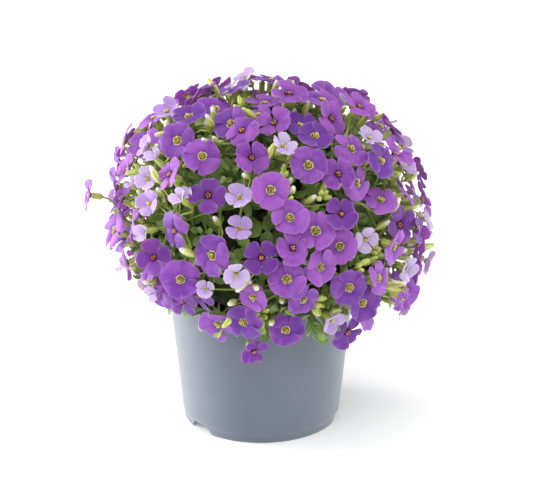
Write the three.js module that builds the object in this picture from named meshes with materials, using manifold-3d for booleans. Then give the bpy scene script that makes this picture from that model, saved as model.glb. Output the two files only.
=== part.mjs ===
// A potted aubrieta: a plastic nursery pot full of potting mix, a leafy crown whose woody stems
// stand in the mix, and flowering sprays whose stems stand in the crown.
// Millimetres, +Z up. The origin is on the pot's axis, on the surface that the pot stands on,
// and the front of the plant is towards -Y.
import * as THREE from "three";
import { mergeVertices } from "three/addons/utils/BufferGeometryUtils.js";
import Module from "manifold-3d";

const wasm = await Module();
wasm.setup();

// The nursery pot: a tapered wall on a foot ring, a floor inside it and a band round the rim.
const POT_HEIGHT = 90;
const FOOT_RADIUS = 49.5;
const WALL_TOP_RADIUS = 58;
const BAND_HEIGHT = 6;
const BAND_RADIUS = 61;
const BAND_STEP = 0.8;
const BAND_FLARE = 0.4;
const POT_WALL = 1.6;
const FOOT_HEIGHT = 5.2;
const FOOT_RING_WIDTH = 2.1;
const FLOOR_THICKNESS = 1.6;
const POT_SIDES = 40;
const NOTCH_TURNS = [-140, -13, 103.5];
const NOTCH_HALF_WIDTH_LOW = 11.2;
const NOTCH_HALF_WIDTH_HIGH = 6;
const DRAIN_RADIUS = 4.5;
const DRAIN_RING_RADIUS = 36;
const DRAIN_COUNT = 5;
const DRAIN_SIDES = 6;

// The potting mix, which fills the pot and is a little proud in the middle.
const SOIL_SIDE_HEIGHT = 81;
const SOIL_MIDDLE_HEIGHT = 84;

// The room left round each stem that stands in a hole, and between pieces that only lie close.
const SEAT_GAP = 0.3;
const CLEARANCE = 0.3;

// The plant's mound: a full dome about the point that its stems spread from. It is boxier than an
// ellipsoid (whose power would be 2), a little wavy, and low down it hangs out more to the right.
const MOUND_MIDDLE = new THREE.Vector3(1.4, 0.6, 131);
const MOUND_HALF_WIDTH = 100;
const MOUND_HALF_DEPTH = 98;
const MOUND_RISE = 86;
const MOUND_DROP = 71;
const MOUND_POWER = 2.36;
const MOUND_WAVE = 0.03;
const MOUND_HANG = 0.26;
const LOWEST_TURN = THREE.MathUtils.degToRad(122);

// The leafy crown: a dense cushion of shoots, its leaves, and its woody stems in the mix.
const CUSHION_SHARE = 0.66;
const CUSHION_SPREAD = 0.17;
const CUSHION_LOW = 91.5;
const STEM_COUNT = 5;
const STEM_RADIUS = 3;
const STEM_RING_RADIUS = 20;
const STEM_LOW = 60;
const STEM_SPREAD = 1.3;
const STEM_SINK = 6;
const LEAF_SEED = 31;
const LEAF_COUNT = 122;
const LEAF_TRIES = 2000;
const LEAF_LENGTH = 24;
const LEAF_WIDTH = 8.6;
const LEAF_THICKNESS = 1.4;
const LEAF_DROOP = 0.12;
const LEAF_OUTLINE = [
  [0, 0],
  [0.66, 0.5],
  [1, 0.15],
  [1, -0.15],
  [0.66, -0.5],
];
const LEAF_RIB_SHARE = 0.62;
const LEAF_TWIST = 0.8;
const LEAF_ROOT_SINK = 0.07;
const LEAF_ROOT_VOLUME = 4;
const LEAF_STEEPEST = 0.75;
const LEAF_FLATTEST = 0.3;

// The flowering sprays: blooms set over the mound, each group of them on one stem.
const BLOOM_SEED = 5;
const BLOOM_COUNT = 182;
const BLOOM_TRIES = 30000;
const BLOOM_SPACING = 17.2;
const BLOOM_RADIUS = 11.2;
const BLOOM_DEPTH = 9;
const BLOOM_LEAN = 0.95;
const SMALLEST_OPEN = 0.9;
const OPEN_SPREAD = 0.18;
const FLATTEST_CUP = 0.02;
const CUP_SPREAD = 0.16;
const YOUNG_SHARE = 0.17;
const YOUNG_SIZE = 0.72;
const YOUNG_CUP = 0.3;
const PETAL_THICKNESS = 1;
const THROAT_SHARE = 0.28;
const KEEL_SHARE = 0.9;

// How a bloom gives way where it would touch another piece: millimetres outwards with the share
// of a turn towards straight out, and how small it may get, in what steps.
const SMALLEST_SHARE = 0.64;
const SHRINK_STEP = 0.04;
const BLOOM_MOVES = [
  [0, 0],
  [0, 0.5],
  [3, 0.5],
  [-3, 0.5],
  [0, 1],
  [4, 1],
  [-4, 1],
  [7, 1],
  [-8, 1],
  [10, 1],
];

// The stems of the sprays, the stalks that leave them, and their buds.
const SPRAY_COUNT = 40;
const SPRAY_ROUNDS = 5;
const HEAD_SHARE = 0.85;
const FOOT_SHARE = 0.6;
const HEAD_LOWEST = -0.3;
const SPRAY_STEM_RADIUS = 1.7;
const STALK_OVERRUN = 0.9;
const CALYX_RADIUS = 1.6;
const STALK_STEP = 2.1;
const PETAL_OUTLINE = [
  [-0.58, 0.87],
  [0, 1],
  [0.58, 0.87],
];
const CALYX_LENGTH = 7;
const SHARPEST_BEND = 0.85;
const BUD_SEED = 77;
const BUD_TRIES = 6;
const BUD_LENGTH = 11;
const BUD_RADIUS = 2;
const BUD_LEAN = 0.7;
const BUD_LOWEST_SHARE = 0.98;
const BUD_SHARE_SPREAD = 0.06;
const BUD_FROM_BLOOM = 10;

// Colours, as the photo shows them in soft light.
const PETAL_COLOUR = 0x9a55cc;
const LEAF_COLOUR = 0x5f8538;
const POT_COLOUR = 0x8494a2;
const SOIL_COLOUR = 0x3a2a20;

const LARGEST_SCRAP = 3;
const UP = new THREE.Vector3(0, 0, 1);
const FULL_TURN = 2 * Math.PI;

// A repeatable stream of numbers from 0 to 1.
function numberStream(seed) {
  let state = seed;
  return () => {
    state = (state + 0x6d2b79f5) >>> 0;
    let mixed = Math.imul(state ^ (state >>> 15), state | 1);
    mixed ^= mixed + Math.imul(mixed ^ (mixed >>> 7), mixed | 61);
    return ((mixed ^ (mixed >>> 14)) >>> 0) / 4294967296;
  };
}

// A closed three.js geometry as a solid that can be joined and cut.
function toSolid(geometry) {
  const plain = geometry.clone();
  plain.deleteAttribute("normal");
  plain.deleteAttribute("uv");
  const merged = mergeVertices(plain, 1e-4);
  const mesh = new wasm.Mesh({
    numProp: 3,
    vertProperties: new Float32Array(merged.attributes.position.array),
    triVerts: new Uint32Array(merged.index.array),
  });
  return new wasm.Manifold(mesh);
}

function toGeometry(solid) {
  const mesh = solid.getMesh();
  const geometry = new THREE.BufferGeometry();
  geometry.setAttribute("position", new THREE.BufferAttribute(mesh.vertProperties, 3));
  geometry.setIndex(new THREE.BufferAttribute(mesh.triVerts, 1));
  const flat = geometry.toNonIndexed();
  flat.computeVertexNormals();
  return flat;
}

// A geometry from its corners and faces, each face a list of corners in turn round it.
function facedGeometry(corners, faces) {
  const triangles = faces.flatMap((face) =>
    face.slice(2).flatMap((_, step) => [face[0], face[step + 1], face[step + 2]]),
  );
  const geometry = new THREE.BufferGeometry();
  const numbers = corners.flatMap((corner) => [corner.x, corner.y, corner.z]);
  geometry.setAttribute("position", new THREE.Float32BufferAttribute(numbers, 3));
  geometry.setIndex(triangles);
  return geometry;
}

// The one body that a fused node is: its largest part, without scraps or sealed hollows.
function oneBody(solid) {
  const parts = solid.decompose();
  parts.sort((a, b) => b.volume() - a.volume());
  if (parts.length > 1 && parts[1].volume() > LARGEST_SCRAP) {
    throw new Error("a piece of this node isn't joined to it");
  }
  return parts[0];
}

// A stalk that tapers along a few points. Its ends are closed, and a radius of 0 ends it in a tip.
function stalkSolid(points, radii, sides) {
  const corners = [];
  const rings = points.map((point, step) => {
    const before = points[Math.max(step - 1, 0)];
    const after = points[Math.min(step + 1, points.length - 1)];
    const along = after.clone().sub(before).normalize();
    const turn = new THREE.Quaternion().setFromUnitVectors(UP, along);
    const count = radii[step] > 0 ? sides : 1;
    return Array.from({ length: count }, (_, side) => {
      const angle = (side / sides) * FULL_TURN;
      const corner = new THREE.Vector3(Math.cos(angle), Math.sin(angle), 0);
      corners.push(corner.multiplyScalar(radii[step]).applyQuaternion(turn).add(point));
      return corners.length - 1;
    });
  });
  const faces = [];
  for (let step = 0; step + 1 < rings.length; step += 1) {
    const low = rings[step];
    const high = rings[step + 1];
    for (let side = 0; side < sides; side += 1) {
      const next = (side + 1) % sides;
      if (high.length === 1) {
        faces.push([low[side], low[next], high[0]]);
      } else if (low.length === 1) {
        faces.push([low[0], high[next], high[side]]);
      } else {
        faces.push([low[side], low[next], high[next], high[side]]);
      }
    }
  }
  const ends = [rings[0].slice().reverse(), rings.at(-1)];
  faces.push(...ends.filter((end) => end.length > 1));
  return toSolid(facedGeometry(corners, faces));
}

function latheSolid(profile, sides) {
  const points = profile.map(([radius, height]) => new THREE.Vector2(radius, height));
  const geometry = new THREE.LatheGeometry(points, sides);
  geometry.rotateX(Math.PI / 2);
  return toSolid(geometry);
}

// The radius of the pot's outer wall at a height.
function wallRadius(height) {
  const rise = height / (POT_HEIGHT - BAND_HEIGHT);
  return FOOT_RADIUS + (WALL_TOP_RADIUS - FOOT_RADIUS) * rise;
}

function potSolid() {
  const floorTop = FOOT_HEIGHT + FLOOR_THICKNESS;
  const bandLow = POT_HEIGHT - BAND_HEIGHT;
  const footInner = FOOT_RADIUS - FOOT_RING_WIDTH;
  const body = latheSolid(
    [
      [0, FOOT_HEIGHT],
      [footInner, FOOT_HEIGHT],
      [footInner, 0],
      [FOOT_RADIUS, 0],
      [WALL_TOP_RADIUS, bandLow],
      [BAND_RADIUS, bandLow + BAND_STEP],
      [BAND_RADIUS + BAND_FLARE, POT_HEIGHT],
      [BAND_RADIUS - POT_WALL, POT_HEIGHT],
      [WALL_TOP_RADIUS - POT_WALL, bandLow],
      [wallRadius(floorTop) - POT_WALL, floorTop],
      [0, floorTop],
    ],
    POT_SIDES,
  );
  const notch = new THREE.Shape([
    new THREE.Vector2(-NOTCH_HALF_WIDTH_LOW, -1),
    new THREE.Vector2(NOTCH_HALF_WIDTH_LOW, -1),
    new THREE.Vector2(NOTCH_HALF_WIDTH_HIGH, FOOT_HEIGHT),
    new THREE.Vector2(-NOTCH_HALF_WIDTH_HIGH, FOOT_HEIGHT),
  ]);
  const cuts = NOTCH_TURNS.map((turn) => {
    const depth = FOOT_RADIUS / 2;
    const wedge = new THREE.ExtrudeGeometry(notch, { depth, bevelEnabled: false });
    wedge.rotateX(Math.PI / 2);
    wedge.rotateZ(Math.PI / 2);
    wedge.translate(FOOT_RADIUS - depth / 2, 0, 0);
    wedge.rotateZ(THREE.MathUtils.degToRad(turn));
    return toSolid(wedge);
  });
  for (let hole = 0; hole < DRAIN_COUNT; hole += 1) {
    const long = 4 * FLOOR_THICKNESS;
    const drain = new THREE.CylinderGeometry(DRAIN_RADIUS, DRAIN_RADIUS, long, DRAIN_SIDES);
    drain.rotateX(Math.PI / 2);
    drain.translate(DRAIN_RING_RADIUS, 0, FOOT_HEIGHT);
    drain.rotateZ(((hole + 0.5) / DRAIN_COUNT) * FULL_TURN);
    cuts.push(toSolid(drain));
  }
  return oneBody(body.subtract(wasm.Manifold.union(cuts)));
}

// Where the crown's woody stems go into the mix.
function stemPlaces() {
  return Array.from({ length: STEM_COUNT }, (_, stem) => {
    const angle = ((stem + 0.25) / STEM_COUNT) * FULL_TURN;
    return new THREE.Vector3(
      STEM_RING_RADIUS * Math.cos(angle),
      STEM_RING_RADIUS * Math.sin(angle),
      STEM_LOW,
    );
  });
}

// The woody stems, or with a gap the holes that they stand in.
function woodyStems(gap) {
  return stemPlaces().map((place) => {
    const top = place.clone().multiplyScalar(STEM_SPREAD).setZ(CUSHION_LOW + STEM_SINK);
    const low = place.clone().setZ(place.z - gap);
    const radius = STEM_RADIUS + gap;
    return stalkSolid([low, top], [radius, 1.2 * radius], 6);
  });
}

function soilSolid() {
  const floorTop = FOOT_HEIGHT + FLOOR_THICKNESS + SEAT_GAP;
  const inset = POT_WALL + SEAT_GAP;
  const fill = latheSolid(
    [
      [0, floorTop],
      [wallRadius(floorTop) - inset, floorTop],
      [wallRadius(SOIL_SIDE_HEIGHT) - inset, SOIL_SIDE_HEIGHT],
      [0, SOIL_MIDDLE_HEIGHT],
    ],
    POT_SIDES / 2,
  );
  return oneBody(fill.subtract(wasm.Manifold.union(woodyStems(SEAT_GAP))));
}

// The point of the mound's surface in one direction, at a share of its distance from the middle.
function onMound(direction, share) {
  const rise = direction.z > 0 ? MOUND_RISE : MOUND_DROP;
  const level = Math.hypot(direction.x / MOUND_HALF_WIDTH, direction.y / MOUND_HALF_DEPTH);
  const steep = Math.abs(direction.z) / rise;
  const reach = (level ** MOUND_POWER + steep ** MOUND_POWER) ** (-1 / MOUND_POWER);
  const round = Math.atan2(direction.y, direction.x);
  const flat = Math.hypot(direction.x, direction.y);
  const wave = MOUND_WAVE * flat * Math.sin(3 * round + 0.8) * Math.cos(2 * direction.z);
  const hang = MOUND_HANG * direction.x * Math.max(-direction.z, 0);
  return direction.clone().multiplyScalar(reach * (1 + wave + hang) * share).add(MOUND_MIDDLE);
}

// A direction drawn evenly over the mound, down to its lowest turn from straight up.
function drawDirection(draw, lowest) {
  const up = 1 - draw() * (1 - Math.cos(lowest));
  const round = draw() * FULL_TURN;
  const flat = Math.sqrt(1 - up * up);
  return new THREE.Vector3(flat * Math.cos(round), flat * Math.sin(round), up);
}

// Blooms that the photo shows apart from the rest: where each is and which way it faces.
function standOutBlooms() {
  const low = { centre: [-4, -72, 71], facing: [0.35, -0.75, -0.3], radius: 9 };
  const lowBeside = { centre: [15, -80, 88], facing: [0.1, -1, 0], radius: 10.5 };
  const top = { centre: [-10, 30, 214], facing: [-0.55, -0.2, 0.8], radius: 8 };
  const farLeft = { centre: [-104.5, -22, 153], facing: [-0.95, -0.2, 0.2], radius: 9 };
  return [low, lowBeside, top, farLeft].map((bloom) => ({
    centre: new THREE.Vector3(...bloom.centre),
    facing: new THREE.Vector3(...bloom.facing).normalize(),
    radius: bloom.radius,
    spin: 0.4,
    cup: 0.1,
  }));
}

// Every bloom: its centre, the way it faces, its radius, its turn about its stalk and its cup.
function placeBlooms() {
  const draw = numberStream(BLOOM_SEED);
  const blooms = standOutBlooms();
  for (let go = 0; go < BLOOM_TRIES && blooms.length < BLOOM_COUNT; go += 1) {
    const direction = drawDirection(draw, LOWEST_TURN);
    const depth = draw() * BLOOM_DEPTH;
    const centre = onMound(direction, 1).addScaledVector(direction, -depth);
    const lean = new THREE.Vector3(draw() - 0.5, draw() - 0.5, draw() - 0.3);
    const facing = direction.clone().addScaledVector(lean, BLOOM_LEAN).normalize();
    const young = draw() < YOUNG_SHARE;
    const radius = BLOOM_RADIUS * (young ? YOUNG_SIZE : SMALLEST_OPEN + OPEN_SPREAD * draw());
    const spin = draw() * FULL_TURN;
    const cup = young ? YOUNG_CUP : FLATTEST_CUP + CUP_SPREAD * draw();
    if (blooms.every((other) => other.centre.distanceTo(centre) >= BLOOM_SPACING)) {
      blooms.push({ centre, facing, radius, spin, cup });
    }
  }
  return blooms;
}

// The blooms shared out among the sprays, each to the spray whose middle is nearest.
function gatherSprays(blooms) {
  const golden = Math.PI * (3 - Math.sqrt(5));
  let middles = Array.from({ length: SPRAY_COUNT }, (_, spray) => {
    const up = 1 - ((spray + 0.5) / SPRAY_COUNT) * (1 - Math.cos(LOWEST_TURN));
    const flat = Math.sqrt(1 - up * up);
    const round = spray * golden;
    return onMound(new THREE.Vector3(flat * Math.cos(round), flat * Math.sin(round), up), 1);
  });
  let groups = [];
  for (let round = 0; round < SPRAY_ROUNDS; round += 1) {
    groups = middles.map(() => []);
    for (const bloom of blooms) {
      const reaches = middles.map((middle) => middle.distanceTo(bloom.centre));
      groups[reaches.indexOf(Math.min(...reaches))].push(bloom);
    }
    middles = groups.map((group, spray) => {
      const sum = group.reduce((all, bloom) => all.add(bloom.centre), new THREE.Vector3());
      return group.length ? sum.divideScalar(group.length) : middles[spray];
    });
  }
  return groups.filter((group) => group.length > 0);
}

// A spray's stem: from its foot in the crown to its head. The bloom nearest its line ends it, and
// the other blooms' stalks leave it one below the other.
function sprayStem(group) {
  const sum = group.reduce((all, bloom) => all.add(bloom.centre), new THREE.Vector3());
  const out = sum.divideScalar(group.length).sub(MOUND_MIDDLE).normalize();
  out.z = Math.max(out.z, HEAD_LOWEST);
  out.normalize();
  const foot = onMound(out, FOOT_SHARE);
  const head = onMound(out, HEAD_SHARE);
  const offLine = (bloom) => bloom.centre.clone().sub(head).angleTo(out);
  group.sort((a, b) => offLine(a) - offLine(b));
  const joints = group.map((_, place) =>
    head.clone().addScaledVector(out, -STALK_STEP * Math.max(place - 0.5, 0)),
  );
  return { out, foot, head, joints };
}

// The points that a bloom's stalk runs through, each with the stalk's radius there. It bends
// behind the calyx where it has to.
function stalkStops(bloom, stem, place) {
  const joint = stem.joints[place];
  const behind = bloom.centre.clone().addScaledVector(bloom.facing, -CALYX_LENGTH);
  const toJoint = joint.clone().sub(behind).normalize();
  const tip = joint.clone().addScaledVector(toJoint, STALK_OVERRUN);
  const main = [[stem.head, SPRAY_STEM_RADIUS], [stem.foot, SPRAY_STEM_RADIUS]];
  const stops = place === 0 ? main : [[tip, 0]];
  const bent = toJoint.angleTo(bloom.facing.clone().negate()) > SHARPEST_BEND;
  return bent ? [[behind, CALYX_RADIUS], ...stops] : stops;
}

// One bloom: four petals round a square throat, and the stalk behind it through its stops.
function bloomSolid(bloom, swell) {
  const side = UP.clone().cross(bloom.facing);
  if (side.lengthSq() < 1e-3) {
    side.set(1, 0, 0);
  }
  side.normalize();
  const over = bloom.facing.clone().cross(side);
  const place = (angle, reach, height) =>
    bloom.centre
      .clone()
      .addScaledVector(side, Math.cos(angle + bloom.spin) * reach)
      .addScaledVector(over, Math.sin(angle + bloom.spin) * reach)
      .addScaledVector(bloom.facing, height);
  const reach = bloom.radius + swell;
  const top = swell;
  const under = -PETAL_THICKNESS - swell;
  const corners = [];
  const throat = [];
  const petals = [];
  for (let petal = 0; petal < 4; petal += 1) {
    const middle = (petal * Math.PI) / 2;
    const notch = THROAT_SHARE * reach;
    throat.push(corners.length);
    corners.push(place(middle - Math.PI / 4, notch, top), place(middle - Math.PI / 4, notch, under));
    petals.push(corners.length);
    for (const [angle, share] of PETAL_OUTLINE) {
      corners.push(place(middle + angle, reach * share, bloom.cup * reach * share + top));
    }
    const keel = KEEL_SHARE * reach;
    corners.push(place(middle, keel, bloom.cup * keel + under));
  }
  const faces = [];
  let ring = throat.map((corner) => corner + 1);
  const straight = bloom.facing.clone().negate();
  for (const [step, [stop, stalkRadius]] of bloom.stops.entries()) {
    const before = step > 0 ? bloom.stops[step - 1][0] : bloom.centre;
    const after = bloom.stops[Math.min(step + 1, bloom.stops.length - 1)][0];
    const along = stop.clone().sub(before).normalize();
    along.add(after.clone().sub(stop).normalize()).normalize();
    if (stalkRadius === 0) {
      corners.push(stop);
      const tip = corners.length - 1;
      faces.push(...ring.map((corner, petal) => [corner, tip, ring[(petal + 1) % 4]]));
      ring = [];
      break;
    }
    const turn = new THREE.Quaternion().setFromUnitVectors(straight, along);
    const next = throat.map((_, petal) => {
      const angle = (petal * Math.PI) / 2 - Math.PI / 4;
      const offset = place(angle, stalkRadius + swell, 0).sub(bloom.centre);
      corners.push(offset.applyQuaternion(turn).add(stop));
      return corners.length - 1;
    });
    for (let petal = 0; petal < 4; petal += 1) {
      const after = (petal + 1) % 4;
      faces.push([ring[petal], next[petal], next[after], ring[after]]);
    }
    ring = next;
  }
  if (ring.length > 0) {
    faces.push(ring.slice().reverse());
  }
  faces.push(throat);
  for (let petal = 0; petal < 4; petal += 1) {
    const first = throat[petal];
    const last = throat[(petal + 1) % 4];
    const left = petals[petal];
    const [tip, right, keel] = [left + 1, left + 2, left + 3];
    faces.push([first, left, tip], [first, tip, last], [tip, right, last]);
    faces.push([last + 1, keel, first + 1]);
    faces.push([first, first + 1, keel, left], [left, keel, tip], [tip, keel, right]);
    faces.push([right, keel, last + 1, last]);
  }
  return toSolid(facedGeometry(corners, faces));
}

// A bud on its own stalk: a slim club that swells to the closed calyx and ends in a tip.
function budSolid(place, joint, swell) {
  const out = place.clone().sub(joint).normalize();
  const widest = place.clone().addScaledVector(out, -BUD_LENGTH / 2);
  const low = joint.clone().addScaledVector(out, -STALK_OVERRUN);
  return stalkSolid([low, widest, place], [0, BUD_RADIUS + swell, 0], 4);
}

// A leaf blade like a spatula: a root that narrows to a tip, broad shoulders, a blunt end, and a
// midrib that thickens it below.
function leafSolid(leaf, swell) {
  const normal = leaf.along.clone().cross(leaf.across).normalize();
  const place = ([share, side], height) => {
    const droop = -LEAF_DROOP * LEAF_LENGTH * share * share;
    return leaf.root
      .clone()
      .addScaledVector(leaf.along, share * LEAF_LENGTH + swell)
      .addScaledVector(leaf.across, side * (LEAF_WIDTH + 2 * swell))
      .addScaledVector(normal, droop + height);
  };
  const corners = LEAF_OUTLINE.map((spot) => place(spot, swell));
  corners.push(place([LEAF_RIB_SHARE, 0], -LEAF_THICKNESS - swell));
  const rib = corners.length - 1;
  const faces = [
    [4, 1, 0],
    [4, 3, 2, 1],
    ...LEAF_OUTLINE.map((_, edge) => [edge, (edge + 1) % rib, rib]),
  ];
  return toSolid(facedGeometry(corners, faces));
}

// The cushion: the dense inside of the plant, as a share of the mound that widens over the rim.
function cushionShare(direction) {
  const low = THREE.MathUtils.smoothstep(-direction.z, 0.2, 0.45);
  const bumps = Math.sin(9 * direction.x + 7 * direction.y + 5 * direction.z);
  return CUSHION_SHARE + CUSHION_SPREAD * low + 0.02 * bumps;
}

function cushionSolid() {
  const ball = new THREE.SphereGeometry(1, 18, 12);
  ball.rotateX(Math.PI / 2);
  const points = ball.attributes.position;
  const corner = new THREE.Vector3();
  for (let index = 0; index < points.count; index += 1) {
    corner.fromBufferAttribute(points, index).normalize();
    corner.copy(onMound(corner, cushionShare(corner)));
    points.setXYZ(index, corner.x, corner.y, Math.max(corner.z, CUSHION_LOW));
  }
  return toSolid(ball);
}

function boxesMeet(a, b) {
  return [0, 1, 2].every((axis) => a.min[axis] <= b.max[axis] && b.min[axis] <= a.max[axis]);
}

// What already stands somewhere, so that the next piece can be bent or made smaller to clear it.
class Standing {
  constructor() {
    this.taken = [];
  }

  add(owner, solid) {
    this.taken.push({ owner, solid, box: solid.boundingBox() });
  }

  clears(owner, solid) {
    const box = solid.boundingBox();
    return this.taken.every(
      (other) =>
        other.owner === owner ||
        !boxesMeet(other.box, box) ||
        other.solid.intersect(solid).isEmpty(),
    );
  }
}

const pot = potSolid();
const soil = soilSolid();
const standing = new Standing();
standing.add("pot", pot);
standing.add("soil", soil);
const cushion = cushionSolid();
standing.add("crown", cushion);

const groups = gatherSprays(placeBlooms());
const stems = groups.map((group) => sprayStem(group));
stems.forEach(({ foot, head }, spray) => {
  const room = SPRAY_STEM_RADIUS + SEAT_GAP;
  standing.add(spray, stalkSolid([foot, head], [room, room], 4));
});

// A bloom as it is built: smaller, or moved or turned a little, where it would touch the other
// sprays, or its petals another bloom.
function clearBloom(bloom, spray, place) {
  const out = bloom.centre.clone().sub(MOUND_MIDDLE).normalize();
  for (const [shift, turn] of BLOOM_MOVES) {
    const centre = bloom.centre.clone().addScaledVector(out, shift);
    const facing = bloom.facing.clone().lerp(out, turn).normalize();
    const calyx = [[centre.clone().addScaledVector(facing, -CALYX_LENGTH / 2), CALYX_RADIUS]];
    const moved = { ...bloom, centre, facing };
    moved.stops = stalkStops(moved, stems[spray], place);
    for (let share = 1; share > SMALLEST_SHARE; share -= SHRINK_STEP) {
      moved.radius = share * bloom.radius;
      const petals = bloomSolid({ ...moved, stops: calyx }, CLEARANCE);
      const stops = place === 0 ? moved.stops.slice(0, -1) : moved.stops;
      const whole = bloomSolid({ ...moved, stops }, CLEARANCE);
      if (standing.clears("none", petals) && standing.clears(spray, whole)) {
        return moved;
      }
    }
  }
  throw new Error("a bloom finds no room");
}

// Each spray is fused from its blooms on their stalks, the first of which goes down into the
// crown as the spray's stem, and from its bud where one finds room.
const drawBud = numberStream(BUD_SEED);
const sprays = groups.map((group, spray) => {
  const { head, out } = stems[spray];
  const pieces = [];
  group.forEach((bloom, place) => {
    Object.assign(bloom, clearBloom(bloom, spray, place));
    pieces.push(bloomSolid(bloom, 0));
    standing.add(spray, bloomSolid(bloom, CLEARANCE));
  });
  for (let go = 0; go < BUD_TRIES; go += 1) {
    const lean = new THREE.Vector3(drawBud() - 0.5, drawBud() - 0.5, drawBud() - 0.4);
    const toBud = out.clone().addScaledVector(lean, BUD_LEAN).normalize();
    const place = onMound(toBud, BUD_LOWEST_SHARE + BUD_SHARE_SPREAD * drawBud());
    const joint = head.clone().addScaledVector(out, -STALK_STEP * (group.length - 0.5));
    const swollen = budSolid(place, joint, CLEARANCE);
    const clearOfBlooms = group.every(
      (bloom) => bloom.centre.distanceTo(place) > BUD_FROM_BLOOM,
    );
    if (clearOfBlooms && standing.clears(spray, swollen)) {
      pieces.push(budSolid(place, joint, 0));
      standing.add(spray, swollen);
      break;
    }
  }
  return oneBody(wasm.Manifold.union(pieces));
});

// The crown: the cushion with holes for the sprays' stems, its woody stems, and the leaves that
// find room between the sprays.
function placeLeaves() {
  const draw = numberStream(LEAF_SEED);
  const leaves = [];
  for (let go = 0; go < LEAF_TRIES && leaves.length < LEAF_COUNT; go += 1) {
    const direction = drawDirection(draw, LOWEST_TURN);
    const sideways = UP.clone().cross(direction).normalize();
    sideways.applyAxisAngle(direction, draw() * FULL_TURN);
    const steep = LEAF_FLATTEST + (LEAF_STEEPEST - LEAF_FLATTEST) * draw();
    const along = direction.clone().lerp(sideways, 1 - steep).normalize();
    const across = along.clone().cross(direction).normalize();
    across.applyAxisAngle(along, LEAF_TWIST * (draw() - 0.5));
    const root = onMound(direction, cushionShare(direction) - LEAF_ROOT_SINK);
    const leaf = { root, along, across };
    const swollen = leafSolid(leaf, CLEARANCE);
    const rooted = cushion.intersect(leafSolid(leaf, 0)).volume() > LEAF_ROOT_VOLUME;
    if (rooted && standing.clears("crown", swollen)) {
      leaves.push(leaf);
      standing.add("leaf", swollen);
    }
  }
  return leaves;
}

const holes = stems.map(({ foot, out }, spray) => {
  const bloom = groups[spray][0];
  const low = foot.clone().addScaledVector(out, -SEAT_GAP);
  const stops = [...bloom.stops.slice(0, -1), [low, SPRAY_STEM_RADIUS]];
  return bloomSolid({ ...bloom, stops }, SEAT_GAP);
});
const drilled = cushion.subtract(wasm.Manifold.union(holes));
const leaves = placeLeaves();
const leafSolids = leaves.map((leaf) => leafSolid(leaf, 0));
const crown = oneBody(wasm.Manifold.union([drilled, ...woodyStems(0), ...leafSolids]));

function namedMesh(name, solid, colour, roughness) {
  const material = new THREE.MeshStandardMaterial({ color: colour, roughness, metalness: 0 });
  const mesh = new THREE.Mesh(toGeometry(solid), material);
  mesh.name = name;
  return mesh;
}

const group = new THREE.Group();
group.add(namedMesh("pot", pot, POT_COLOUR, 0.5));
group.add(namedMesh("soil", soil, SOIL_COLOUR, 0.95));
group.add(namedMesh("leafy_crown", crown, LEAF_COLOUR, 0.6));
sprays.forEach((spray, index) => {
  const name = `flowering_spray_${String(index + 1).padStart(2, "0")}`;
  group.add(namedMesh(name, spray, PETAL_COLOUR, 0.55));
});

export default group;
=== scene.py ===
import random
from math import atan, atan2, cos, hypot, pi, radians, sin, sqrt

import bmesh
import bpy
import numpy as np
from mathutils import Matrix, Quaternion, Vector, noise
from mathutils.kdtree import KDTree


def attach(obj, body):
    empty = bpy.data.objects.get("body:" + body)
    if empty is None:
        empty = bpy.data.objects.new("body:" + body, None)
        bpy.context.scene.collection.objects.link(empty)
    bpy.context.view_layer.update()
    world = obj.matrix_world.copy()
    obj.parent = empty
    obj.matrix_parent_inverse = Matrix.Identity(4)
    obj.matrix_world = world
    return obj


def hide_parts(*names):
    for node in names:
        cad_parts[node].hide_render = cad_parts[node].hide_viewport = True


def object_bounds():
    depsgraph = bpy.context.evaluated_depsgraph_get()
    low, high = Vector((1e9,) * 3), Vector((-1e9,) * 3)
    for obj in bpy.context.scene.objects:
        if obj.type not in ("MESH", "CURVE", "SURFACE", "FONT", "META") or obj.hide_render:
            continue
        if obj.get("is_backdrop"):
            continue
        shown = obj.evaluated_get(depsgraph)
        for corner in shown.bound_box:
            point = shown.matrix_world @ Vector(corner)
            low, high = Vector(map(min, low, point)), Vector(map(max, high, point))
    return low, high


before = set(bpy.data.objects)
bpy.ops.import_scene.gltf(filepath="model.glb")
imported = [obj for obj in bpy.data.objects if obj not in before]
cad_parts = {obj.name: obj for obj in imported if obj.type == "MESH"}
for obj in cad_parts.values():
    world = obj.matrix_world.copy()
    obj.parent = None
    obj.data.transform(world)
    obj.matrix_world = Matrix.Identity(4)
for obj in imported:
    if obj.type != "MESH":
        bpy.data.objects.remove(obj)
cad_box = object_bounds()

# The pot: a round nursery pot, injection-moulded in thin blue-grey plastic. It tapers to a foot ring
# with three notches, has a floor with drainage holes, and a band round its rim that stiffens it.
MM = 0.001
UP = Vector((0, 0, 1))
FULL_TURN = 2 * pi
POT_HEIGHT = 90
POT_FOOT_RADIUS = 49.5
POT_TAPER = 8.5 / 84
POT_WALL = 1.6
POT_SIDES = 160
NOTCH_TURNS = (-140, -13, 103.5)
NOTCH_OUTLINE = ((-11.2, -1), (11.2, -1), (5.9, 5.25), (-5.9, 5.25))
NOTCH_REACH = (44, 60)
DRAIN_COUNT = 5
DRAIN_RING = 36
DRAIN_RADIUS = 4.5
DRAIN_DEPTH = 6


def pot_wall(height):
    """The radius of the wall's outside at a height, below the rim band."""
    return POT_FOOT_RADIUS + POT_TAPER * height


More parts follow.
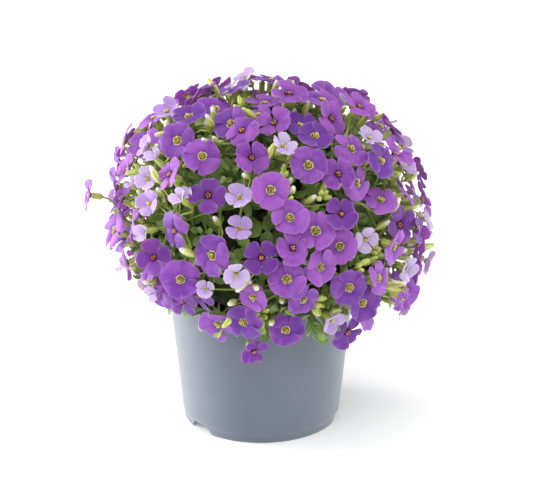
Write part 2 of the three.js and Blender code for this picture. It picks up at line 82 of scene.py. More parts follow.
POT_PROFILE = (
    # The floor's underside and the foot ring.
    *((0, 5.2), (20, 5.2), (40, 5.2), (46.9, 5.2), (47.4, 4.7)),
    *((47.4, 0.35), (47.7, 0), (49.2, 0), (49.55, 0.4)),
    # The wall's outside, with a fine step above the notches.
    *((pot_wall(2.5), 2.5), (pot_wall(5.6), 5.6), (pot_wall(5.9) + 0.28, 6.05)),
    *((pot_wall(7) + 0.28, 7), (pot_wall(20) + 0.25, 20), (pot_wall(40) + 0.2, 40)),
    *((pot_wall(60) + 0.15, 60), (pot_wall(75) + 0.1, 75), (pot_wall(83.4), 83.4)),
    # The rim band.
    *((58.3, 83.9), (60.4, 84.3), (61.0, 84.9), (61.2, 87), (61.35, 89.2), (61.1, 89.8)),
    *((60.6, POT_HEIGHT), (60.2, 89.95), (59.8, 89.6), (59.3, 88), (56.6, 84.2), (56.2, 83)),
    # The wall's inside and the floor.
    *((pot_wall(60) - POT_WALL, 60), (pot_wall(30) - POT_WALL, 30), (pot_wall(8) - POT_WALL, 8)),
    *((pot_wall(6.8) - 2.2, 6.9), (46, 6.8), (0, 6.8)),
)


def skinned(rings):
    """Points and faces of a closed skin over rings of points; a ring of one point is a tip."""
    points = [point for ring in rings for point in ring]
    faces, low = [], 0
    for ring, above in zip(rings, rings[1:]):
        high = low + len(ring)
        sides = max(len(ring), len(above))
        for side in range(sides):
            after = (side + 1) % sides
            if len(ring) == 1:
                faces.append((low, high + after, high + side))
            elif len(above) == 1:
                faces.append((low + side, low + after, high))
            else:
                faces.append((low + side, low + after, high + after, high + side))
        low = high
    if len(rings[0]) > 1:
        faces.append(tuple(reversed(range(len(rings[0])))))
    if len(rings[-1]) > 1:
        faces.append(tuple(range(low, len(points))))
    return points, faces


def turns_of(sides, radius=1):
    """The turns at which the points of a ring stand; a ring with no radius is one point."""
    return [side / sides * FULL_TURN for side in range(sides if radius > 0 else 1)]


def turned(profile, sides):
    """Points and faces of a profile turned about the upright axis, whose ends lie on it."""
    rings = []
    for radius, height in profile:
        ring = turns_of(sides, radius)
        rings.append([(radius * cos(turn), radius * sin(turn), height) for turn in ring])
    return skinned(rings)


def placed(name, data):
    """A mesh, a lamp or a camera as an object of the scene."""
    piece = bpy.data.objects.new(name, data)
    bpy.context.scene.collection.objects.link(piece)
    return piece


def made_piece(name, points, faces, finishes, kinds=None, marks=None, crisp=50):
    """One piece of the object, smooth but for its crisp edges. marks are four numbers a point."""
    mesh = bpy.data.meshes.new(name)
    scaled = np.asarray(points, dtype=float) * MM
    mesh.from_pydata(scaled.tolist(), [], [tuple(face) for face in faces])
    for finish in finishes:
        mesh.materials.append(finish)
    if kinds is not None:
        mesh.polygons.foreach_set("material_index", np.asarray(kinds, dtype=np.int32))
    if marks is not None:
        layer = mesh.attributes.new("mark", "FLOAT_COLOR", "POINT")
        layer.data.foreach_set("color", np.asarray(marks, dtype=np.float32).ravel())
    mesh.validate()
    mesh.shade_smooth()
    mesh.set_sharp_from_angle(angle=radians(crisp))
    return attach(placed(name, mesh), "root")


class Finish:
    """A procedural finish: its nodes are added and joined by short calls."""

    def __init__(self, name, roughness, **sockets):
        self.material = bpy.data.materials.new(name)
        self.material.use_nodes = True
        self.tree = self.material.node_tree
        self.shader = self.tree.nodes["Principled BSDF"]
        self.shader.inputs["Roughness"].default_value = roughness
        for socket, value in sockets.items():
            self.shader.inputs[socket.replace("_", " ").title()].default_value = value

    def node(self, kind, inputs=(), **settings):
        made = self.tree.nodes.new(kind)
        for setting, value in settings.items():
            setattr(made, setting, value)
        for socket, value in dict(inputs).items():
            if isinstance(value, bpy.types.NodeSocket):
                self.tree.links.new(value, made.inputs[socket])
            else:
                made.inputs[socket].default_value = value
        return made

    def sums(self, operation, *values):
        return self.node("ShaderNodeMath", enumerate(values), operation=operation).outputs[0]

    def times(self, first, second):
        return self.sums("MULTIPLY", first, second)

    def spread(self, value, low, high, to_low=0.0, to_high=1.0):
        """value as it runs from low to high, smoothly turned into to_low to to_high."""
        inputs = {0: value, 1: low, 2: high, 3: to_low, 4: to_high}
        return self.node("ShaderNodeMapRange", inputs, interpolation_type="SMOOTHSTEP").outputs[0]

    def blended(self, share, first, second):
        """first where share is 0, second where it is 1; a colour is given as a screen shows it."""
        ends = [colour(*end) if isinstance(end, tuple) else end for end in (first, second)]
        inputs = {0: share, 6: ends[0], 7: ends[1]}
        return self.node("ShaderNodeMix", inputs, data_type="RGBA").outputs[2]

    def noise(self, scale, detail=3.0, roughness=0.5, stretch=(1, 1, 1)):
        """A noise texture in the piece's own place, scale in turns a metre."""
        place = self.node("ShaderNodeTexCoord").outputs["Object"]
        mapped = self.node("ShaderNodeMapping", {"Vector": place, "Scale": stretch}).outputs[0]
        inputs = {"Vector": mapped, "Scale": scale, "Detail": detail, "Roughness": roughness}
        return self.node("ShaderNodeTexNoise", inputs).outputs[0]

    def marks(self):
        """The four numbers that each point of the piece carries."""
        mark = self.node("ShaderNodeAttribute", attribute_name="mark").outputs
        return (*self.node("ShaderNodeSeparateColor", {0: mark[0]}).outputs, mark[3])

    def bumped(self, height, distance, strength=1.0):
        inputs = {"Height": height, "Distance": distance, "Strength": strength}
        made = self.node("ShaderNodeBump", inputs)
        self.tree.links.new(made.outputs[0], self.shader.inputs["Normal"])

    def painted(self, body, roughness=None):
        self.tree.links.new(body, self.shader.inputs["Base Color"])
        if roughness is not None:
            self.tree.links.new(roughness, self.shader.inputs["Roughness"])
        return self.material


def colour(*tones):
    """A red, a green and a blue as a screen shows them, from 0 to 255, as the shader takes them."""
    tones = [tone / 255 for tone in tones]
    return tuple(t / 12.92 if t <= 0.04 else ((t + 0.055) / 1.055) ** 2.4 for t in tones) + (1,)


def pot_finish():
    made = Finish("blue_grey_pot_plastic", 0.42, sheen_weight=0.5, sheen_roughness=0.5)
    cloud = made.noise(14, 4, 0.6)
    draw_lines = made.noise(26, 5, 0.65, (1, 1, 0.12))
    body = made.blended(made.spread(cloud, 0.35, 0.7), (94, 104, 117), (102, 112, 126))
    body = made.blended(made.spread(draw_lines, 0.5, 0.75, 0, 0.3), body, (126, 135, 146))
    scuff = made.spread(made.noise(90, 8, 0.75, (1, 1, 2.5)), 0.62, 0.72, 0, 0.25)
    body = made.blended(scuff, body, (146, 154, 163))
    grain = made.noise(900, 3, 0.6)
    made.bumped(made.sums("ADD", grain, made.times(draw_lines, 2.0)), 0.00008, 0.5)
    return made.painted(body, made.spread(made.noise(40, 4, 0.6), 0.3, 0.75, 0.36, 0.52))


def pot_cutter():
    """The solids that cut the foot's notches and the floor's drainage holes."""
    cutter = bmesh.new()
    for turn in NOTCH_TURNS:
        corners = []
        for far in NOTCH_REACH:
            for across, height in NOTCH_OUTLINE:
                spot = Vector((far, across, height))
                spot.rotate(Quaternion(UP, radians(turn)))
                corners.append(cutter.verts.new(spot * MM))
        loops = ((0, 3, 2, 1), (4, 5, 6, 7), (0, 1, 5, 4), (1, 2, 6, 5), (2, 3, 7, 6), (3, 0, 4, 7))
        for loop in loops:
            cutter.faces.new([corners[corner] for corner in loop])
    for hole in range(DRAIN_COUNT):
        turn = (hole + 0.5) / DRAIN_COUNT * FULL_TURN
        spot = Vector((DRAIN_RING * cos(turn), DRAIN_RING * sin(turn), DRAIN_DEPTH))
        bmesh.ops.create_cone(
            cutter,
            cap_ends=True,
            segments=28,
            radius1=DRAIN_RADIUS * MM,
            radius2=DRAIN_RADIUS * MM,
            depth=DRAIN_DEPTH * MM,
            matrix=Matrix.Translation(spot * MM),
        )
    bmesh.ops.recalc_face_normals(cutter, faces=cutter.faces)
    mesh = bpy.data.meshes.new("cutter")
    cutter.to_mesh(mesh)
    cutter.free()
    return placed("cutter", mesh)


def pot_piece():
    pot = made_piece("pot_moulding", *turned(POT_PROFILE, POT_SIDES), [])
    cutter = pot_cutter()
    cut = pot.modifiers.new("cut", "BOOLEAN")
    cut.operation = "DIFFERENCE"
    cut.solver = "EXACT"
    cut.object = cutter
    graph = bpy.context.evaluated_depsgraph_get()
    finished = bpy.data.meshes.new_from_object(pot.evaluated_get(graph))
    pot.modifiers.clear()
    pot.data = finished
    bpy.data.objects.remove(cutter)
    finished.materials.clear()
    finished.materials.append(pot_finish())
    finished.shade_smooth()
    finished.set_sharp_from_angle(angle=radians(42))
    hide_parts("pot")


pot_piece()

# The potting mix: moist and peat-based, filled to just under the rim and pressed down by hand.
# Crumbs, bits of bark and a few white grains of perlite lie on it.
SOIL_SIDE = 81
SOIL_MIDDLE = 84
SOIL_FLOOR = 7.1
SOIL_RADIUS = 55.5
SOIL_INSET = 1.95
SOIL_RINGS = 24
SOIL_SIDES = 96
CRUMB_COUNT = 420
CRUMB_SIZES = (0.5, 1.6)
CRUMB_REACH = 53
PERLITE_SHARE = 0.07
soil_luck = random.Random(4)


class Gathered:
    """Shapes of one piece, gathered before the piece is made."""

    def __init__(self):
        self.points, self.faces, self.marks, self.kinds = [], [], [], []

    def add(self, points, faces, marks, kind=0):
        first = len(self.points)
        self.points.extend(tuple(point) for point in points)
        self.faces.extend([first + corner for corner in face] for face in faces)
        self.marks.extend(marks if isinstance(marks, list) else [marks] * len(points))
        self.kinds.extend([kind] * len(faces))

    def made(self, name, finishes, crisp=50):
        return made_piece(name, self.points, self.faces, finishes, self.kinds, self.marks, crisp)


def soil_top(far):
    """How high the pressed mix stands at a distance from the pot's axis."""
    return SOIL_MIDDLE - (SOIL_MIDDLE - SOIL_SIDE) * (far / SOIL_RADIUS) ** 2


def lumpy(spot):
    """A point of the mix's top, raised or sunk by its lumps; other points stay."""
    x, y, z = spot
    if z < SOIL_SIDE - 1 or hypot(x, y) > SOIL_RADIUS - 1:
        return spot
    return (x, y, z + 0.9 * noise.fractal(Vector((x, y, 0)) * 0.11, 0.6, 2.0, 4) - 0.5)


def soil_finish():
    made = Finish("potting_mix", 0.92)
    shade, white, _, _ = made.marks()
    dark = made.spread(made.noise(260, 6, 0.7), 0.3, 0.7)
    body = made.blended(dark, (38, 27, 20), (84, 62, 44))
    body = made.blended(made.spread(shade, 0.2, 1.0, 0, 0.5), body, (104, 78, 54))
    made.bumped(made.noise(900, 5, 0.7), 0.0004)
    return made.painted(made.blended(white, body, (226, 222, 212)))


def soil_piece():
    profile = [(0, SOIL_FLOOR), (46.4, SOIL_FLOOR)]
    profile += [(pot_wall(height) - SOIL_INSET, height) for height in (30, 60, SOIL_SIDE)]
    inner = [ring / SOIL_RINGS * (SOIL_RADIUS - 0.5) for ring in range(SOIL_RINGS - 1, -1, -1)]
    profile += [(far, soil_top(far)) for far in inner]
    points, faces = turned(profile, SOIL_SIDES)
    mix = Gathered()
    mix.add([lumpy(point) for point in points], faces, (0.5, 0, 0, 0))
    ball = bmesh.new()
    bmesh.ops.create_icosphere(ball, subdivisions=1, radius=1)
    knobs = [knob.co.copy() for knob in ball.verts]
    knob_faces = [[knob.index for knob in face.verts] for face in ball.faces]
    ball.free()
    for _ in range(CRUMB_COUNT):
        far = CRUMB_REACH * sqrt(soil_luck.random())
        turn = soil_luck.random() * FULL_TURN
        size = soil_luck.uniform(*CRUMB_SIZES)
        spot = Vector(lumpy((far * cos(turn), far * sin(turn), soil_top(far))))
        spot.z += 0.25 * size
        white = 1.0 if soil_luck.random() < PERLITE_SHARE else 0.0
        shade = soil_luck.random()
        squash = Vector((soil_luck.uniform(0.7, 1.5), soil_luck.uniform(0.6, 1.1), 0.7))
        spin = Quaternion(UP, soil_luck.random() * FULL_TURN)
        crumb = []
        for knob in knobs:
            knobby = knob * size * soil_luck.uniform(0.75, 1.15)
            crumb.append(spin @ (knobby * squash) + spot)
        mix.add(crumb, knob_faces, (shade, white, 0, 0))
    soil = mix.made("potting_mix", [soil_finish()], 40)
    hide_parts("soil")


soil_piece()

# Where the blooms stand: the plant is a full dome about the point that its stems spread from, low
# on the right and drawn in on the left. Each bloom is looked up on the solids, and stands there.
MOUND_MIDDLE = Vector((1.4, 0.6, 131))
MOUND_HALF_WIDTH = 100
MOUND_HALF_DEPTH = 98
MOUND_RISE = 86
MOUND_DROP = 71
MOUND_POWER = 2.36
MOUND_WAVE = 0.03
MOUND_HANG = 0.26
LOWEST_TURN = radians(122)
BLOOM_COUNT = 182
BLOOM_SPACING = 17.2
BLOOM_RADIUS = 11.2
BLOOM_DEPTH = 9
YOUNG_SHARE = 0.17
# Blooms that stand out alone: place, facing, radius, whether young.
LONE_BLOOMS = (
    ((-4, -72, 71), (0.35, -0.75, -0.3), 9, False),
    ((15, -80, 88), (0.1, -1, 0), 10.5, False),
    ((-10, 30, 214), (-0.55, -0.2, 0.8), 8, True),
    ((-104.5, -22, 153), (-0.95, -0.2, 0.2), 9, False),
)
# How far out a crowded bloom's solid was moved, and how much it was turned outward.
BLOOM_MOVES = ((0, 0), (0, 0.5), (3, 0.5), (-3, 0.5), (0, 1), (4, 1), (-4, 1), (7, 1), (-8, 1), (10, 1))
# How much smaller each try makes it, the number of tries, and how near a petal's tip has to be.
SHRINK_STEP = 0.04
SHRINK_STEPS = 9
SAME_CORNER = 0.05


def number_stream(seed):
    """A repeatable stream of numbers from 0 to 1."""
    mask = 0xFFFFFFFF
    state = seed
    while True:
        state = (state + 0x6D2B79F5) & mask
        mixed = ((state ^ (state >> 15)) * (state | 1)) & mask
        mixed ^= (mixed + (((mixed ^ (mixed >> 7)) * (mixed | 61)) & mask)) & mask
        yield ((mixed ^ (mixed >> 14)) & mask) / 4294967296


def on_mound(direction, share):
    """The point of the mound in a direction, at a share of its distance from the middle."""
    rise = MOUND_RISE if direction.z > 0 else MOUND_DROP
    level = hypot(direction.x / MOUND_HALF_WIDTH, direction.y / MOUND_HALF_DEPTH)
    steep = abs(direction.z) / rise
    reach = (level**MOUND_POWER + steep**MOUND_POWER) ** (-1 / MOUND_POWER)
    turn = atan2(direction.y, direction.x)
    flat = hypot(direction.x, direction.y)
    wave = MOUND_WAVE * flat * sin(3 * turn + 0.8) * cos(2 * direction.z)
    hang = MOUND_HANG * direction.x * max(-direction.z, 0)
    return direction * (reach * (1 + wave + hang) * share) + MOUND_MIDDLE


def drawn_direction(draw):
    up = 1 - next(draw) * (1 - cos(LOWEST_TURN))
    turn = next(draw) * FULL_TURN
    flat = sqrt(1 - up * up)
    return Vector((flat * cos(turn), flat * sin(turn), up))


def placed_blooms():
    blooms = []
    for centre, facing, radius, young in LONE_BLOOMS:
        bloom = {"centre": Vector(centre), "facing": Vector(facing).normalized()}
        blooms.append(bloom | {"radius": radius, "spin": 0.4, "cup": 0.1, "young": young})
    draw = number_stream(5)
    while len(blooms) < BLOOM_COUNT:
        direction = drawn_direction(draw)
        depth = next(draw) * BLOOM_DEPTH
        centre = on_mound(direction, 1) - direction * depth
        lean = Vector((next(draw) - 0.5, next(draw) - 0.5, next(draw) - 0.3))
        facing = (direction + lean * 0.95).normalized()
        young = next(draw) < YOUNG_SHARE
        radius = BLOOM_RADIUS * (0.72 if young else 0.9 + 0.18 * next(draw))
        spin = next(draw) * FULL_TURN
        cup = 0.3 if young else 0.02 + 0.16 * next(draw)
        if all((other["centre"] - centre).length >= BLOOM_SPACING for other in blooms):
            found = {"centre": centre, "facing": facing, "radius": radius}
            blooms.append(found | {"spin": spin, "cup": cup, "young": young})
    return blooms


def across_bloom(bloom, turn):
    """The way across a bloom at a turn about the way it faces."""
    side = UP.cross(bloom["facing"])
    if side.length_squared < 1e-3:
        side = Vector((1, 0, 0))
    side.normalize()
    return side * cos(turn) + bloom["facing"].cross(side) * sin(turn)


def petal_tips(bloom, radius):
    ways = [across_bloom(bloom, petal * pi / 2 + bloom["spin"]) for petal in range(4)]
    return [bloom["centre"] + (way + bloom["facing"] * bloom["cup"]) * radius for way in ways]


def corners_of_solids():
    """Every corner of the sprays' solids to look up, and the spray that each belongs to."""
    names = sorted(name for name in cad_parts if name.startswith("flowering_spray"))
    meshes = [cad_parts[name].data for name in names]
    owners = [spray for spray, mesh in enumerate(meshes) for _ in mesh.vertices]
    tree = KDTree(len(owners))
    corners = [corner for mesh in meshes for corner in mesh.vertices]
    for place, corner in enumerate(corners):
        tree.insert(corner.co / MM, place)
    tree.balance()
    return names, tree, owners


def settle_on_solid(bloom):
    """Moves the bloom as its solid was moved, and says which spray it belongs to."""
    out = (bloom["centre"] - MOUND_MIDDLE).normalized()
    for shift, turn in BLOOM_MOVES:
        moved = dict(bloom, centre=bloom["centre"] + out * shift)
        moved["facing"] = bloom["facing"].lerp(out, turn).normalized()
        for step in range(SHRINK_STEPS):
            radius = bloom["radius"] * (1 - SHRINK_STEP * step)
            met = [spray_corners.find(tip) for tip in petal_tips(moved, radius)]
            if sum(distance < SAME_CORNER for _, _, distance in met) >= 2:
                near = min(met, key=lambda found: found[2])
                bloom.update(moved, solid_radius=radius)
                return corner_sprays[near[1]]
    raise SystemExit("a bloom has no solid")


spray_names, spray_corners, corner_sprays = corners_of_solids()
sprays = [[] for _ in spray_names]
all_blooms = placed_blooms()
for bloom in all_blooms:
    bloom["first_centre"] = bloom["centre"].copy()
    sprays[settle_on_solid(bloom)].append(bloom)

# The leafy crown: woody stems rise from the mix and branch into a dense cushion of leafy shoots.
# The inside of the cushion is a lumpy core coloured dark green as painted shade, with streaks of twig
# colour; it shows only in the gaps between the outer leaves.
CUSHION_LOW = 91.5
CUSHION_SHARE = 0.66
CUSHION_SPREAD = 0.17
CUSHION_INSET = 0.93
CUSHION_ROWS = 44
CUSHION_COLUMNS = 72
WOOD_COUNT = 5
WOOD_STEPS = 12
WOOD_SIDES = 14
crown_luck = random.Random(12)


def cushion_share(direction):
    """How far out the cushion reaches, as a share of the mound; it is fuller below."""
    low = min(max((-direction.z - 0.2) / 0.25, 0), 1)
    bumps = sin(9 * direction.x + 7 * direction.y + 5 * direction.z)
    return CUSHION_SHARE + CUSHION_SPREAD * low * low * (3 - 2 * low) + 0.02 * bumps


def rod(stops, radii, sides, across=Vector((1, 0, 0))):
    """Points and faces of a closed rod along its stops; a radius of 0 ends it in a tip."""
    rings = []
    for place, (stop, radius) in enumerate(zip(stops, radii)):
        along = stops[min(place + 1, len(stops) - 1)] - stops[max(place - 1, 0)]
        along.normalize()
        across = across - along * across.dot(along)
        if across.length < 1e-3:
            across = along.orthogonal()
        across.normalize()
        over = along.cross(across)
        ways = [across * cos(turn) + over * sin(turn) for turn in turns_of(sides, radius)]
        rings.append([stop + way * radius for way in ways])
    return skinned(rings)


def painted_shade_core_finish():
    made = Finish("inner_core_painted_shade", 0.8)
    patch = made.noise(170, 6, 0.7)
    # The core's dark greens are painted shade, standing in for the deep shade between the outer leaves.
    body = made.blended(made.spread(patch, 0.35, 0.65), (24, 32, 14), (62, 82, 32))
    twig = made.spread(made.noise(320, 4, 0.6, (1, 1, 0.25)), 0.58, 0.64)
    made.bumped(patch, 0.004)
    return made.painted(made.blended(made.times(twig, 0.6), body, (88, 84, 44)))


def cushion_piece():
    rings = []
    for row in range(CUSHION_ROWS, -1, -1):
        fall = row / CUSHION_ROWS * pi
        flat = sin(fall) if 0 < row < CUSHION_ROWS else 0
        ring = []
        for turn in turns_of(CUSHION_COLUMNS, flat):
            way = Vector((flat * cos(turn), flat * sin(turn), cos(fall)))
            spot = on_mound(way, cushion_share(way) * CUSHION_INSET)
            spot += way * 3.2 * noise.fractal(spot * 0.09, 0.7, 2.0, 4)
            spot.z = max(spot.z, CUSHION_LOW + 0.6 * noise.noise(spot * 0.15))
            ring.append(spot)
        rings.append(ring)
    cushion = made_piece("crown_inner_core_painted_shade", *skinned(rings), [painted_shade_core_finish()], crisp=80)
    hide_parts("leafy_crown")


def bark_finish():
    made = Finish("woody_stems", 0.8)
    ridges = made.noise(300, 5, 0.6, (1, 1, 0.15))
    made.bumped(ridges, 0.0006)
    return made.painted(made.blended(ridges, (70, 54, 38), (122, 104, 76)))


def wood_piece():
    wood = Gathered()
    for stem in range(WOOD_COUNT):
        turn = (stem + 0.25) / WOOD_COUNT * FULL_TURN
        low = Vector((20 * cos(turn), 20 * sin(turn), 60))
        top = Vector((low.x * 1.3, low.y * 1.3, 97.5))
        stops, radii = [], []
        for step in range(WOOD_STEPS + 1):
            share = step / WOOD_STEPS
            wander = Vector((sin(9 * share + stem), cos(7 * share + 2 * stem), 0))
            stops.append(low.lerp(top, share) + wander * 0.35)
            radii.append(2.5 + 0.7 * share + 0.25 * sin(17 * share + stem))
        wood.add(*rod(stops, radii, WOOD_SIDES), (0, 0, 0, 0))
    wood.made("crown_woody_stems", [bark_finish()])


cushion_piece()
wood_piece()

# The crown's leaves: spoon-shaped with a few blunt teeth, grey-green and softly hairy. Large ones
# stand where the solid's do, and by each a fresh shoot carries a whorl of smaller ones.
LEAF_TRIES = 330
LEAF_LENGTH = 24
LEAF_WIDTH = 8.6
LEAF_SECTORS = 6
LEAF_ROOT_DEPTH = 0.07
LEAF_COLUMNS = (-1, -0.55, 0, 0.55, 1)
# A leaf's outline: how far along its rows are, and half its width there, as shares.
LARGE_LEAF = (
    (0, 0.16, 0.32, 0.46, 0.58, 0.68, 0.78, 0.87, 0.94, 1.0),
    (0.08, 0.10, 0.17, 0.31, 0.46, 0.44, 0.52, 0.38, 0.33, 0.09),
)
SMALL_LEAF = (
    (0, 0.25, 0.45, 0.62, 0.78, 0.92, 1.0),
    (0.09, 0.16, 0.36, 0.5, 0.48, 0.3, 0.08),
)
SHOOT_LEAVES = 6
SHOOT_LENGTH = 11
SHOOT_ROOT_DEPTH = 9
SHOOT_LEAF_LENGTH = 14
GOLDEN_TURN = pi * (3 - sqrt(5))
PETAL_CLEARANCE = 15
RIM_CLEARANCE = 63
ABOVE_RIM = POT_HEIGHT + 3


def shell_faces(rows, columns):
    """The faces of a closed thin shell: an upper and a lower grid, and the edge between them."""
    lower = rows * columns
    faces = []
    for row in range(rows - 1):
        for column in range(columns - 1):
            a = row * columns + column
            quad = (a, a + 1, a + columns + 1, a + columns)
            faces.append(quad)
            faces.append(tuple(lower + corner for corner in reversed(quad)))
    edge = list(range(columns))
    edge += [row * columns + columns - 1 for row in range(1, rows)]
    edge += [(rows - 1) * columns + column for column in range(columns - 2, -1, -1)]
    edge += [row * columns for row in range(rows - 2, 0, -1)]
    for a, b in zip(edge, edge[1:] + edge[:1]):
        faces.append((b, a, lower + a, lower + b))
    return faces


def shell_points(x, y, z, thick, ways, root):
    """The points of a thin shell: its upper face and, thick under it, its lower one."""
    grids = [np.stack([x, y, level], -1).reshape(-1, 3) for level in (z, z - thick)]
    return np.concatenate(grids) @ np.array(ways) + np.array(root)


def leaf_shape(root, along, across, length, width, outline):
    """One leaf from its root; its marks are how far along, how far across and its tone."""
    rows, half_widths = outline
    u, c = np.meshgrid(rows, LEAF_COLUMNS, indexing="ij")
    y = np.reshape(half_widths, (-1, 1)) * width * c
    fold = crown_luck.uniform(0.08, 0.3)
    curl = crown_luck.uniform(-0.22, 0.1)
    roll = crown_luck.uniform(-0.25, 0.25)
    z = length * curl * u**2 + fold * np.abs(y) + roll * y * u
    z += 0.02 * length * np.sin(7 * u + crown_luck.uniform(0, 6)) * np.abs(c)
    thick = 0.28 + 0.25 * (1 - np.abs(c)) * (1 - u)
    points = shell_points(length * u, y, z, thick, (along, across, across.cross(along)), root)
    tone = np.full_like(u, crown_luck.random())
    marks = np.stack([u, 0.5 + 0.5 * c, tone, np.zeros_like(u)], -1).reshape(-1, 4)
    return points, shell_faces(*u.shape), np.concatenate([marks, marks]).tolist()


def leaf_finish():
    soft = {"subsurface_weight": 0.1, "subsurface_scale": 0.001, "subsurface_radius": (0.5, 1.0, 0.25)}
    made = Finish("leaf", 0.5, sheen_weight=0.15, **soft)
    far, across, tone, _ = made.marks()
    middle = made.sums("ABSOLUTE", made.sums("SUBTRACT", across, 0.5))
    body = made.blended(tone, (106, 138, 60), (162, 192, 96))
    # Darker towards the leaf's root, deep in the crown: painted shade.
    body = made.blended(made.spread(far, 0.1, 0.6, 0.55, 0), body, (104, 126, 58))
    cloud = made.noise(220, 4, 0.6)
    body = made.blended(made.spread(cloud, 0.35, 0.7, 0, 0.4), body, (82, 112, 46))
    rib = made.spread(middle, 0.0, 0.06, 0.6, 0)
    body = made.blended(rib, body, (178, 194, 118))
    fan = made.sums("ADD", made.times(far, 9.0), made.times(middle, -7.0))
    side_rib = made.spread(made.sums("PINGPONG", fan, 0.5), 0.0, 0.09, 0.35, 0)
    body = made.blended(side_rib, body, (164, 184, 102))
    margin = made.spread(middle, 0.42, 0.5, 0, 0.5)
    body = made.blended(margin, body, (174, 190, 108))
    hair = made.noise(1500, 2, 0.6)
    made.bumped(made.sums("ADD", made.times(side_rib, -1.5), hair), 0.0002, 0.6)
    return made.painted(body, made.spread(cloud, 0.3, 0.7, 0.42, 0.6))


def petals_in_reach(centre, reach):
    return any((bloom["centre"] - centre).length < reach for bloom in all_blooms)


def meets_petals(tip):
    """Whether a leaf or bud with this tip would come through a bloom's petals or hide them."""
    for bloom in all_blooms:
        offset = tip - bloom["centre"]
        height = offset.dot(bloom["facing"])
        aside = (offset - bloom["facing"] * height).length
        if -2.5 < height < PETAL_CLEARANCE and aside < 1.12 * bloom["solid_radius"]:
            return True
    return False


def in_pot(spot):
    """Whether a spot is in the pot, or so near its rim that a leaf there would cut the wall."""
    return spot.z < ABOVE_RIM and hypot(spot.x, spot.y) < RIM_CLEARANCE


def shaken(luck, most):
    """A random small step, at most so much along each axis."""
    return Vector(luck.uniform(-most, most) for _ in range(3))


def add_leafy_shoot(root, way, whorls):
    """A fresh shoot with leaves set round it in a spiral, smaller towards its tip."""
    if in_pot(root):
        return
    lean = (way + shaken(crown_luck, 0.45)).normalized()
    side = lean.orthogonal().normalized()
    side.rotate(Quaternion(lean, crown_luck.random() * FULL_TURN))
    stops = [root - way * SHOOT_ROOT_DEPTH]
    stops += [root + lean * (SHOOT_LENGTH * share) for share in (0, 0.5, 1)]
    whorls.add(*rod(stops, [0.9, 0.85, 0.75, 0.5], 6), (0.3, 0.3, 0.5, 0))
    for leaf in range(SHOOT_LEAVES):
        share = leaf / (SHOOT_LEAVES - 1)
        start = root + lean * (SHOOT_LENGTH * share)
        round_way = Quaternion(lean, leaf * GOLDEN_TURN) @ side
        spread = 1.15 - 0.6 * share + crown_luck.uniform(-0.15, 0.15)
        along = lean * cos(spread) + round_way * sin(spread)
        across = along.cross(lean).normalized()
        across.rotate(Quaternion(along, crown_luck.uniform(-0.35, 0.35)))
        length = SHOOT_LEAF_LENGTH * (1 - 0.4 * share) * crown_luck.uniform(0.8, 1.1)
        width = 0.44 * length * crown_luck.uniform(0.9, 1.1)
        if meets_petals(start + along * length):
            length *= 0.6
        tip = start + along * length
        if meets_petals(tip) or in_pot(tip) or in_pot(start):
            continue
        whorls.add(*leaf_shape(start, along, across, length, width, SMALL_LEAF))


def leaf_pieces():
    draw = number_stream(31)
    sectors = [Gathered() for _ in range(LEAF_SECTORS)]
    for _ in range(LEAF_TRIES):
        way = drawn_direction(draw)
        sideways = UP.cross(way).normalized()
        sideways.rotate(Quaternion(way, next(draw) * FULL_TURN))
        steep = 0.3 + 0.45 * next(draw)
        along = way.lerp(sideways, 1 - steep).normalized()
        across = along.cross(way).normalized()
        across.rotate(Quaternion(along, 0.8 * (next(draw) - 0.5)))
        root = on_mound(way, cushion_share(way) - LEAF_ROOT_DEPTH)
        crowded = petals_in_reach(root + along * LEAF_LENGTH, 6.5)
        length = LEAF_LENGTH * (0.72 if crowded else 0.95)
        round_share = atan2(way.y, way.x) / FULL_TURN + 0.5
        sector = sectors[int(round_share * (LEAF_SECTORS - 0.001))]
        if not in_pot(root + along * length):
            sector.add(*leaf_shape(root, along, across, length, LEAF_WIDTH, LARGE_LEAF))
        beside = sideways * crown_luck.uniform(-9, -3)
        add_leafy_shoot(root + beside + way * crown_luck.uniform(3, 9), way, sector)
    finish = leaf_finish()
    for number, sector in enumerate(sectors, 1):
        piece = sector.made(f"crown_leaves_{number}", [finish], 60)
        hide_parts("leafy_crown")


leaf_pieces()

# The flowering sprays: each is a thin green stem out of the crown. Its stalks leave it one below
# the other and bend up behind a calyx of four sepals; the bloom nearest the stem's line ends it.
STALK_STEP = 2.1
CALYX_LENGTH = 9.4
HEAD_SHARE = 0.85
FOOT_SHARE = 0.6
HEAD_LOWEST = -0.3
BOW_PULL = 0.4
STALK_STEPS = 8
STALK_SIDES = 7
FIRST_GIRTH = 0.62
SHORT_CALYX = 0.6
spray_luck = random.Random(21)


def spray_stem(group):
    middle = sum((bloom["first_centre"] for bloom in group), Vector()) / len(group)
    out = (middle - MOUND_MIDDLE).normalized()
    out.z = max(out.z, HEAD_LOWEST)
    out.normalize()
    foot, head = on_mound(out, FOOT_SHARE), on_mound(out, HEAD_SHARE)
    group.sort(key=lambda bloom: (bloom["first_centre"] - head).angle(out))
    joints = [head - out * (STALK_STEP * max(place - 0.5, 0)) for place in range(len(group))]
    return out, foot, head, joints


def bowed(first, first_way, last, last_way, steps):
    """Points along a smooth bow that leaves each of its two ends by a way."""
    pull = (last - first).length * BOW_PULL
    first_pull, last_pull = first + first_way * pull, last + last_way * pull
    found = []
    for step in range(steps + 1):
        t = step / steps
        s = 1 - t
        spot = first * s**3 + first_pull * (3 * s * s * t) + last_pull * (3 * s * t * t)
        found.append(spot + last * t**3)
    return found


def over_rim(stops):
    """A stalk's points, lifted where the stalk would pass through the pot's rim."""
    return [Vector((stop.x, stop.y, ABOVE_RIM)) if in_pot(stop) else stop for stop in stops]


